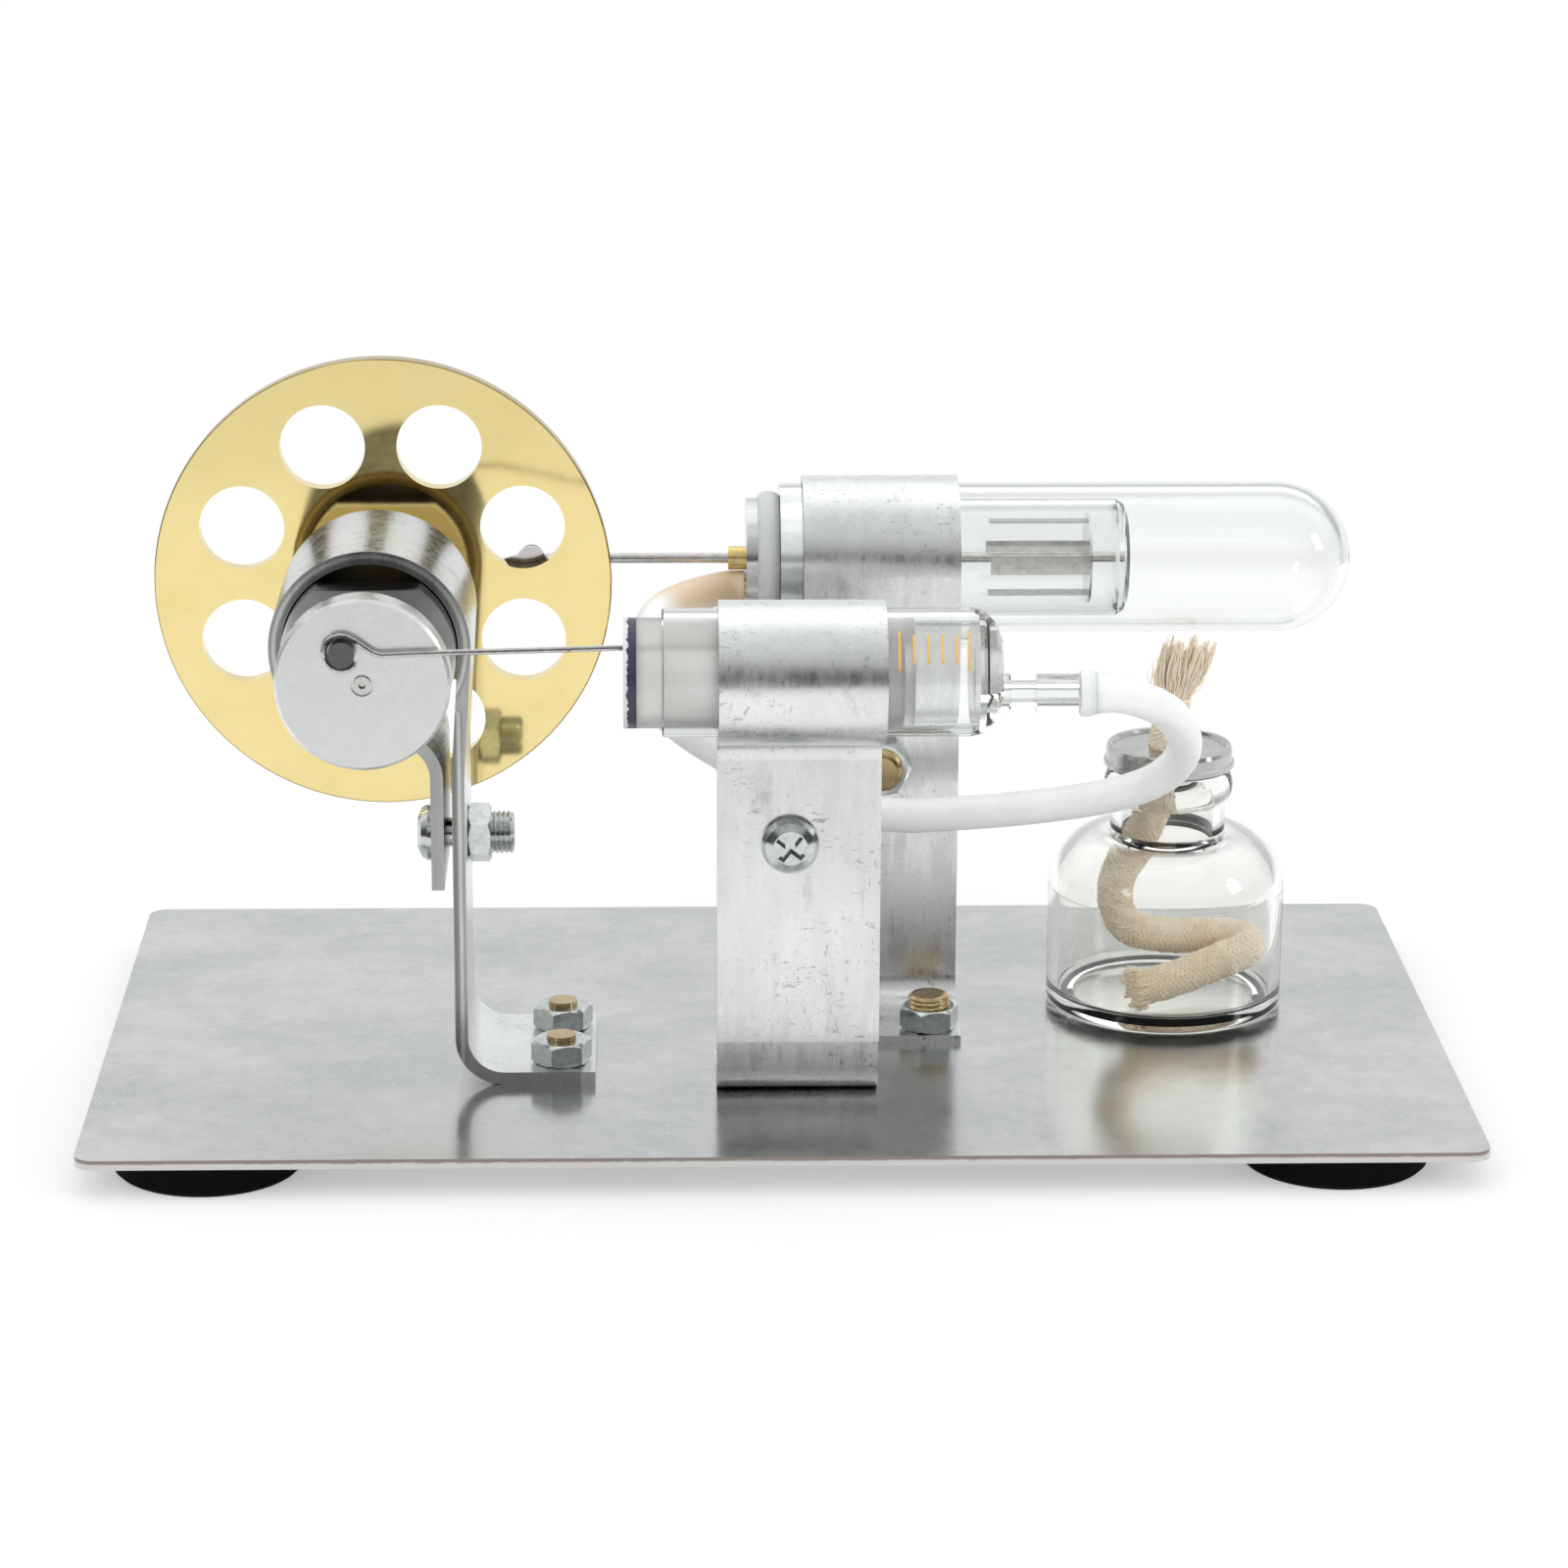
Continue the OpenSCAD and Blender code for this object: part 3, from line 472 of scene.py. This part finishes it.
# Metals of one kind: colour, roughness, its spread, then the grain's scale and stretch
METALS = {
    "zinc_steel": ((0.64, 0.665, 0.65), 0.15, 0.06),
    "yellow_zinc": ((0.56, 0.43, 0.23), 0.24, 0.08),
    "can_metal": ((0.76, 0.77, 0.78), 0.2, 0.07, 700, (0.2, 1, 0.2)),
    "brass": ((0.83, 0.62, 0.26), 0.22),
    "polished_steel": ((0.62, 0.6, 0.58), 0.16, 0.05),
    "dark_steel": ((0.16, 0.155, 0.15), 0.3),
    "lid_metal": ((0.54, 0.54, 0.53), 0.2, 0.08, 300, (1, 1, 0.2)),
}
LOOKS = {
    "galvanised": galvanised(),
    "rubber": rubber(),
    "bracket_steel": bracket_steel(),
    "cap_plastic": plastic("cap_plastic", (0.82, 0.82, 0.8), 0.45),
    "aluminium": crank_face(),
    "gold_brass": gold(),
    "clear_glass": glass("clear_glass", (0.95, 0.957, 0.95)),
    "bottle_glass": glass("bottle_glass", (0.957, 0.957, 0.936)),
    "frosted_glass": glass("frosted_glass", (0.91, 0.9, 0.89), 0.3, 1.45),
    "dark_enamel": band_ink(),
    "silicone_white": silicone("silicone_white", (0.62, 0.63, 0.62), 0.1),
    "silicone_hose": silicone("silicone_hose", (0.86, 0.865, 0.85), 0.0, (0.76, 0.57, 0.37)),
    "cork": cork(),
    "cotton": cotton("cotton", (0.99, 0.84, 0.64), (0.95, 0.72, 0.48)),
    "cotton_tip": cotton("cotton_tip", (0.99, 0.87, 0.68), (0.96, 0.77, 0.54)),
    "tick_ink": plastic("tick_ink", (0.85, 0.5, 0.12), 0.5),
}
LOOKS.update({name: turned_metal(name, *values) for name, values in METALS.items()})


def wear(obj, look):
    obj.data.materials.clear()
    obj.data.materials.append(LOOKS[look])


def soften(obj, width):
    """Round the sharp edges, by a width in millimetres."""
    bevel = obj.modifiers.new("soft edge", "BEVEL")
    bevel.width = width * MM
    bevel.segments = 3
    bevel.limit_method = "ANGLE"
    bevel.angle_limit = math.radians(40)
    level = obj.modifiers.new("flat faces", "WEIGHTED_NORMAL")
    level.keep_sharp = False


SOFT = {
    "base_plate": 0.12, "flywheel_bracket": 0.3, "power_bracket": 0.1, "hot_bracket": 0.1,
    "flywheel_clamp_nut": 0.1, "power_clamp_nut": 0.1, "hot_clamp_nut": 0.1,
    "flywheel_foot_nuts": 0.1, "power_foot_nuts": 0.1, "hot_foot_nuts": 0.1,
}
SLOT_OF = {s["node"]: s["material_slot"] for s in frame["record"]["subparts"]}
# The bottle is a little yellower than the tubes, which share its slot
LOOK_OF = {"burner_bottle": "bottle_glass"}
for name, obj in nodes.items():
    wear(obj, LOOK_OF.get(name, SLOT_OF[name]))
    obj.data.shade_smooth()
    obj.data.set_sharp_from_angle(angle=math.radians(32))
    if name in SOFT:
        soften(obj, SOFT[name])


# ---------------------------------------------------------------- shape helpers
def spline(points, steps):
    """A Catmull-Rom curve through points, with so many steps between each two."""
    p = [Vector(v) for v in points]
    out = []
    for i in range(len(p) - 1):
        a, b, c, d = p[max(i - 1, 0)], p[i], p[i + 1], p[min(i + 2, len(p) - 1)]
        for j in range(steps):
            t = j / steps
            out.append(0.5 * (2 * b + (c - a) * t + (2 * a - 5 * b + 4 * c - d) * t * t
                              + (3 * b - a - 3 * c + d) * t ** 3))
    return out + [p[-1]]


def even(points, gap):
    """The same line with points a fixed distance apart."""
    out, spare = [points[0].copy()], 0.0
    for a, b in zip(points, points[1:]):
        length = (b - a).length
        at = gap - spare
        while at <= length:
            out.append(a.lerp(b, at / length))
            at += gap
        spare = length - (at - gap)
    if (out[-1] - points[-1]).length > gap * 0.3:
        out.append(points[-1].copy())
    return out


def frames_along(points):
    """Position, two side vectors and heading at each point, with no twist."""
    out, side = [], None
    for i, p in enumerate(points):
        ahead = (points[min(i + 1, len(points) - 1)] - points[max(i - 1, 0)]).normalized()
        if side is None:
            side = ahead.orthogonal()
        side = (side - ahead * side.dot(ahead)).normalized()
        out.append((p, side, ahead.cross(side), ahead))
    return out


def ring_round(bm, centre, side, turn, radii):
    """A ring of vertices round centre, at each of radii in turn."""
    ring = []
    for k, r in enumerate(radii):
        a = 2 * math.pi * k / len(radii)
        ring.append(bm.verts.new((centre + r * (math.cos(a) * side + math.sin(a) * turn)) * MM))
    return ring


def skin_rings(bm, rings, looped=False):
    """Faces from ring to ring, then back to the first ring or closed off at both ends."""
    following = rings[1:] + rings[:1] if looped else rings[1:]
    for a, b in zip(rings, following):
        for k in range(len(a)):
            n = (k + 1) % len(a)
            bm.faces.new((a[k], a[n], b[n], b[k]))
    if not looped:
        bm.faces.new(rings[0][::-1])
        bm.faces.new(rings[-1])


def tube_into(bm, points, radius, sides):
    """A closed tube along points. radius is a number or a function of the index."""
    rings = []
    for i, (p, s, t, _) in enumerate(frames_along(points)):
        r = radius(i) if callable(radius) else radius
        rings.append(ring_round(bm, p, s, t, [r] * sides))
    skin_rings(bm, rings)


def lathe_into(bm, start, along, section, sides):
    """A closed ring turned about a line from (distance, radius) points."""
    side = along.orthogonal().normalized()
    turn = along.cross(side)
    rings = [ring_round(bm, start + along * at, side, turn, [r] * sides) for at, r in section]
    skin_rings(bm, rings, looped=True)


def finish_mesh(bm, name, look, body, smooth=40):
    mesh = bpy.data.meshes.new(name)
    bm.normal_update()
    bmesh.ops.recalc_face_normals(bm, faces=bm.faces)
    bm.to_mesh(mesh)
    bm.free()
    mesh.shade_smooth()
    mesh.set_sharp_from_angle(angle=math.radians(smooth))
    obj = bpy.data.objects.new(name, mesh)
    scene.collection.objects.link(obj)
    wear(obj, look)
    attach(obj, body)
    return obj


# ---------------------------------------------------------------- hose
def make_hose():
    line = even(spline(HOSE_ROUTE, 8), 0.9)
    bm = bmesh.new()

    def radius(i):
        flare = math.exp(-(i / 2.6) ** 2) * 0.32
        return HOSE_D / 2 + flare

    tube_into(bm, line, radius, 20)
    hose = finish_mesh(bm, "silicone_tube", "silicone_hose", "base")
    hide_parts("hose")


def make_collar():
    """The thicker lip of the hose, over the nozzle."""
    bm = bmesh.new()
    section = (
        (-0.9, 2.02), (-0.85, 2.28), (-0.2, 2.34), (0.5, 2.2),
        (1.0, 2.0), (1.4, 1.86), (1.4, 1.7), (-0.9, 1.95),
    )
    lathe_into(bm, Vector(HOSE_ROUTE[0]), Vector((1, 0, 0)), section, 32)
    finish_mesh(bm, "silicone_collar", "silicone_hose", "base")


make_hose()
make_collar()


# ---------------------------------------------------------------- wick
def braid_into(bm, line):
    """Soft yarns wound both ways round the line, passing over and under each other."""
    radius = WICK_D / 2
    tube_into(bm, line, radius - YARN_D * 0.55, 16)
    frames = frames_along(line)
    gap = (line[1] - line[0]).length
    for turn in (1, -1):
        for k in range(YARNS):
            path = []
            for i, (p, s, t, _) in enumerate(frames):
                a = turn * 2 * math.pi * (i * gap / BRAID_PITCH) + 2 * math.pi * k / YARNS
                lift = 0.06 * math.sin(YARNS * 2 * math.pi * i * gap / BRAID_PITCH * 2
                                       + k * math.pi)
                r = radius - YARN_D * 0.66 + turn * lift + 0.03 * math.sin(i * 2.3 + k)
                path.append(p + r * (math.cos(a) * s + math.sin(a) * t))
            tube_into(bm, path, lambda i: YARN_D * 0.72 * (1 + 0.14 * math.sin(i * 1.7 + k * 2)), 6)


def fuzz_into(bm, line, count, rnd):
    """Short loose fibres lying along and standing off the yarns."""
    frames = frames_along(line)
    for _ in range(count):
        p, s, t, ahead = frames[rnd.randrange(2, len(frames) - 2)]
        a = rnd.uniform(0, 2 * math.pi)
        out = math.cos(a) * s + math.sin(a) * t
        around = ahead.cross(out) * rnd.uniform(-1, 1) + ahead * rnd.uniform(-1, 1)
        root = p + out * (WICK_D / 2 - 0.12)
        tip = root + around.normalized() * rnd.uniform(0.3, 0.8) + out * rnd.uniform(0.02, 0.3)
        tube_into(bm, [root, root.lerp(tip, 0.5) + out * 0.06, tip], 0.028, 3)


def make_braid(name, look, line, fuzz, rnd):
    bm = bmesh.new()
    braid_into(bm, line)
    fuzz_into(bm, line, fuzz, rnd)
    return finish_mesh(bm, name, look, "burner")


def under_tube(p):
    """The highest point a fibre may reach below the hot tube."""
    off = min(abs(p.y - HOT.y), 7.9)
    return HOT.z - math.sqrt(TUBE_R_SQUARED - off * off) - 0.35


def make_fray(head, rnd):
    """Loose fibres above the braid, gathered in locks, with a stray one now and then."""
    bm = bmesh.new()
    locks = []
    for k in range(LOCKS):
        a, r = k * 2.4, 1.85 * math.sqrt((k + 0.5) / LOCKS)
        foot = Vector((r * math.cos(a), 0.7 * r * math.sin(a), 0))
        locks.append((foot, rnd.uniform(4.6, 6.9)))
    for k in range(FRAY_FIBRES):
        a = rnd.uniform(0, 2 * math.pi)
        r = WICK_D / 2 * math.sqrt(rnd.random()) * 0.95
        out = Vector((math.cos(a), math.sin(a) * 0.7, 0))
        root = head + out * r
        foot, height = min(locks, key=lambda v: (v[0] - out * r).length)
        rise = height * rnd.uniform(0.6, 1.0) ** 0.5
        spread = 1 + FRAY_FLARE * rise / FRAY_RISE
        lean = Vector((FRAY_LEAN * rise / FRAY_RISE, 0, rise))
        tip = head + lean + foot * spread + (out * r - foot) * 0.55
        tip += Vector((rnd.uniform(-0.3, 0.3), rnd.uniform(-0.2, 0.2), 0))
        if k % 16 == 0:
            tip = root + out * rnd.uniform(1.0, 2.0) + Vector((0.3, 0, rnd.uniform(2.0, 4.2)))
        tip.z = min(tip.z, under_tube(tip))
        bow = Vector([rnd.uniform(-0.32, 0.32) for _ in range(3)])
        mid = root.lerp(tip, 0.5) + out * 0.35 + bow
        low = root - Vector((0.1, 0, 1.4))
        thick = rnd.uniform(0.05, 0.1)
        tube_into(bm, spline([low, root, mid, tip], 3), lambda i: thick * (1.25 - 0.08 * i), 4)
    finish_mesh(bm, "wick_fray", "cotton_tip", "burner")


def make_cut_end(line, rnd):
    """Fibres splayed from the wick's end in the bottle.

    side isn't a unit vector, so they spread about a third wider than the numbers say.
    """
    bm = bmesh.new()
    end, back = line[-1], (line[-1] - line[-3]).normalized()
    side = back.orthogonal()
    turn = back.cross(side)
    for _ in range(CUT_FIBRES):
        a = rnd.uniform(0, 2 * math.pi)
        out = side * math.cos(a) + turn * math.sin(a)
        root = end - back * 0.9 + out * 1.7 * math.sqrt(rnd.random())
        tip = root + back * rnd.uniform(0.8, 1.5) + out * rnd.uniform(-0.1, 0.25)
        tip.z = max(tip.z, CUT_FIBRE_Z)
        tube_into(bm, spline([root, root.lerp(tip, 0.5), tip], 2), 0.085, 4)
    return finish_mesh(bm, "wick_end_fibres", "cotton", "burner")


def make_wick():
    line = even(spline(WICK_ROUTE, 8), 0.4)
    split = next(i for i, p in enumerate(line) if p.z < CORD_TOP_Z)
    head_at = next(i for i, p in enumerate(line) if p.z < FRAY_Z)
    free = line[split:]
    rnd = random.Random(5)
    rope = make_braid("wick_rope", "cotton", free, 700, rnd)
    make_braid("wick_stem", "cotton_tip", line[head_at:split + 1], 110, rnd)
    make_fray(line[head_at], rnd)
    foot = make_cut_end(line, rnd)
    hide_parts("wick")


make_wick()


# ---------------------------------------------------------------- small pieces
def make_ticks():
    """Printed marks on the front of the syringe barrel."""
    bm = bmesh.new()
    for x, low, high in MARKS:
        ring = []
        for k in range(MARK_STEPS + 1):
            a = math.radians(low + (high - low) * k / MARK_STEPS)
            ring.append(POWER + Vector((x, -MARK_R * math.cos(a), MARK_R * math.sin(a))))
        left = [bm.verts.new((p + Vector((-MARK_HALF, 0, 0))) * MM) for p in ring]
        right = [bm.verts.new((p + Vector((MARK_HALF, 0, 0))) * MM) for p in ring]
        for k in range(MARK_STEPS):
            bm.faces.new((left[k], right[k], right[k + 1], left[k + 1]))
    marks = finish_mesh(bm, "syringe_marks", "tick_ink", "base")
    solid = marks.modifiers.new("thickness", "SOLIDIFY")
    solid.thickness = 0.03 * MM
    solid.offset = 1


def make_thread(name, start, along, length, look):
    """A screw thread as one closed ridge-and-groove surface.

    side and turn aren't unit vectors: they are sqrt(2) long for a direction along an axis,
    so the thread is 1.41 times as wide as THREAD_CREST and THREAD_ROOT say.
    """
    along = Vector(along)
    side = along.orthogonal()
    turn = along.cross(side)
    bm = bmesh.new()
    rings = []
    for i in range(int(length / THREAD_PITCH * ROWS_PER_TURN) + 1):
        z = min(i * THREAD_PITCH / ROWS_PER_TURN, length)
        radii = []
        for k in range(THREAD_SIDES):
            wave = (z / THREAD_PITCH - k / THREAD_SIDES) % 1.0
            r = THREAD_ROOT + (THREAD_CREST - THREAD_ROOT) * (1 - abs(2 * wave - 1))
            if length - z < THREAD_TAPER:
                r = min(r, THREAD_CREST - (THREAD_TAPER - (length - z)) * 0.9)
            radii.append(r)
        rings.append(ring_round(bm, Vector(start) + along * z, side, turn, radii))
    skin_rings(bm, rings)
    finish_mesh(bm, name, look, "base", 60)


make_ticks()
for name, start, along, length, look in (
    ("clamp_thread_flywheel", (-29.45, -9.7, 28.3), (1, 0, 0), 2.35, "zinc_steel"),
    ("clamp_thread_hot", (11.2, 0.84, 31.7), (0, -1, 0), 0.84, "yellow_zinc"),
    ("foot_thread_power_left", (-3.3, -14.2, 7.18), (0, 0, 1), 0.8, "yellow_zinc"),
    ("foot_thread_power_right", (6.7, -14.2, 7.18), (0, 0, 1), 0.8, "yellow_zinc"),
    ("foot_thread_hot_left", (6.2, -3.7, 7.18), (0, 0, 1), 1.3, "yellow_zinc"),
    ("foot_thread_hot_right", (16.2, -3.7, 7.18), (0, 0, 1), 1.3, "yellow_zinc"),
):
    make_thread(name, start, along, length, look)


# ---------------------------------------------------------------- studio, in metres
def make_floor():
    bm = bmesh.new()
    bmesh.ops.create_circle(bm, cap_ends=True, segments=96, radius=0.27)
    mesh = bpy.data.meshes.new("floor")
    bm.to_mesh(mesh)
    bm.free()
    floor = bpy.data.objects.new("floor", mesh)
    scene.collection.objects.link(floor)
    p = Paint("floor", (0.55, 0.55, 0.55), 0.9)
    p.set("Specular IOR Level", 0.0)
    p.color(p.blend((0.54, 0.54, 0.54), (0.57, 0.57, 0.57), p.noise(3, 2, 0.5)))
    p.set("Emission Color", (1, 1, 1, 1))
    p.set("Emission Strength", 0.36)
    mesh.materials.append(p.mat)


def make_world():
    """White behind the object, with a banded room that metal mirrors and glass shows."""
    world = bpy.data.worlds.new("studio")
    scene.world = world
    world.use_nodes = True
    nt = world.node_tree
    nt.nodes.clear()
    new, link = nt.nodes.new, nt.links.new

    def fit(value, a, b, lo=0.0, hi=1.0):
        n = new("ShaderNodeMapRange")
        for key, number in (("From Min", a), ("From Max", b), ("To Min", lo), ("To Max", hi)):
            n.inputs[key].default_value = number
        link(value, n.inputs["Value"])
        return n.outputs[0]

    def blend(a, b, fac, mode="MIX"):
        n = new("ShaderNodeMix")
        n.data_type = "RGBA"
        n.blend_type = mode
        for socket, value in ((n.inputs[6], a), (n.inputs[7], b), (n.inputs[0], fac)):
            feed(nt.links, socket, value)
        return n.outputs[2]

    def by_height(*stops):
        """Brightness from straight down at 0, through the horizon at 0.5, to straight up."""
        ramp = new("ShaderNodeValToRGB")
        e = ramp.color_ramp.elements
        while len(e) < len(stops):
            e.new(0.5)
        for item, (at, v) in zip(e, stops):
            item.position = at
            item.color = (v * 0.98, v, v * 1.01, 1)
        link(height, ramp.inputs["Fac"])
        return ramp.outputs["Color"]

    split = new("ShaderNodeSeparateXYZ")
    link(new("ShaderNodeTexCoord").outputs["Generated"], split.inputs[0])
    height = fit(split.outputs["Z"], -1.0, 1.0)
    path = new("ShaderNodeLightPath")
    behind = by_height((0.0, 0.95), (0.5, 0.95), (0.6, 0.98), (0.67, 0.86), (0.75, 0.9),
                       (0.86, 1.35), (0.95, 1.25), (1.0, 0.85))
    before = by_height((0.0, 0.97), (0.405, 0.97), (0.43, 0.14), (0.5, 0.07), (0.62, 0.12),
                       (0.7, 0.5), (0.86, 0.72), (1.0, 0.85))
    room = blend(before, behind, fit(split.outputs["Y"], -0.25, 0.3))
    card = by_height((0.0, 0.6), (0.2, 0.8), (0.28, 1.0), (0.475, 1.0), (0.53, 0.55),
                     (0.62, 0.6), (0.7, 1.5), (1.0, 2.2))
    straight = fit(split.outputs["Y"], 0.6, 0.93, 0.7, 1.02)
    through = blend(card, straight, 1.0, "MULTIPLY")
    glassy = blend(room, through, path.outputs["Is Transmission Ray"])
    dome = by_height((0.0, 0.62), (0.5, 0.95), (0.8, 1.2), (1.0, 1.25))
    matt = blend(glassy, dome, path.outputs["Diffuse Depth"])
    seen = blend(matt, (1.02, 1.02, 1.02, 1), path.outputs["Is Camera Ray"])
    bg = new("ShaderNodeBackground")
    link(seen, bg.inputs["Color"])
    out = new("ShaderNodeOutputWorld")
    link(bg.outputs[0], out.inputs["Surface"])


def soft_light(name, at, aim, size, power):
    data = bpy.data.lights.new(name, "AREA")
    data.shape = "RECTANGLE"
    data.size, data.size_y = size
    data.energy = power
    lamp = bpy.data.objects.new(name, data)
    at, aim = Vector(at), Vector(aim)
    lamp.location = at
    lamp.rotation_euler = (aim - at).to_track_quat("-Z", "Y").to_euler()
    scene.collection.objects.link(lamp)


make_floor()
make_world()
soft_light("top_box", (-0.05, 0.1, 0.75), (0, 0, 0.03), (0.7, 0.36), 0.28)
soft_light("key_box", (-0.6, -0.55, 0.5), (0, 0, 0.04), (0.12, 0.3), 0.7)
soft_light("side_box", (0.7, -0.2, 0.35), (0, 0, 0.04), (0.1, 0.3), 0.4)
scene.view_settings.view_transform = "Standard"
scene.view_settings.look = "None"
scene.view_settings.exposure = 0.0
